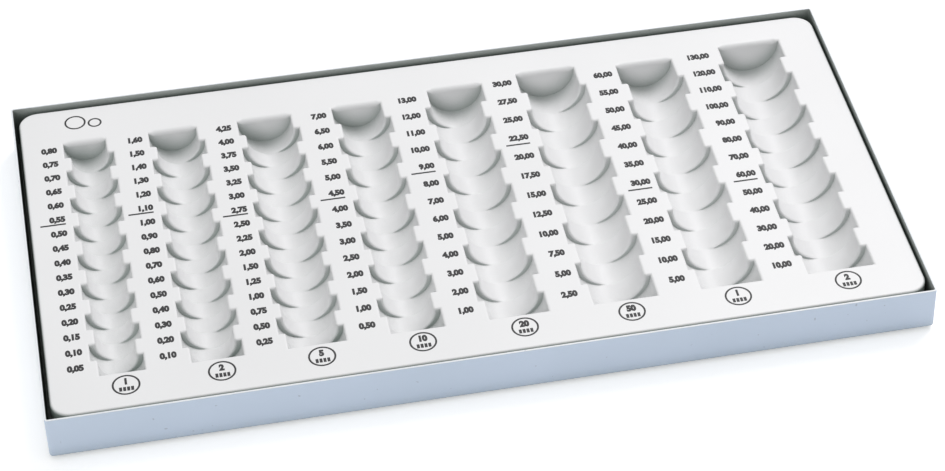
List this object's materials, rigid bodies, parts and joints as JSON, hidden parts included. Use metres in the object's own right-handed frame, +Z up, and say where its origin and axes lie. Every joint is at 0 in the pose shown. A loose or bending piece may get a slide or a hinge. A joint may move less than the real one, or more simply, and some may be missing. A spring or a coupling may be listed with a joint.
{
  "type": "coin counting tray",
  "caption": "Shallow folded metal case with a loose white insert of staggered half-round channels that hold coins on edge for counting.",
  "frame": {"origin": "middle of the case on the plane that the feet stand on", "axes": "+X to the right along the long side, +Y to the back, +Z up out of the channels"},
  "size_m": [0.3482, 0.189, 0.0205],
  "materials": {
    "painted_sheet": "satin light blue-grey powder coat",
    "white_insert": "satin white moulded plastic",
    "foot_rubber": "matt black rubber"
  },
  "bodies": {
    "case": {"outer_case": "painted_sheet", "foot_front_left": "foot_rubber", "foot_back_left": "foot_rubber", "foot_front_right": "foot_rubber", "foot_back_right": "foot_rubber"},
    "insert": {"coin_insert": "white_insert"}
  },
  "joints": [
    {"name": "insert_lift", "type": "slide", "parent": "case", "child": "insert", "axis": [0, 0, 1], "range_m": [0, 0.04]}
  ]
}
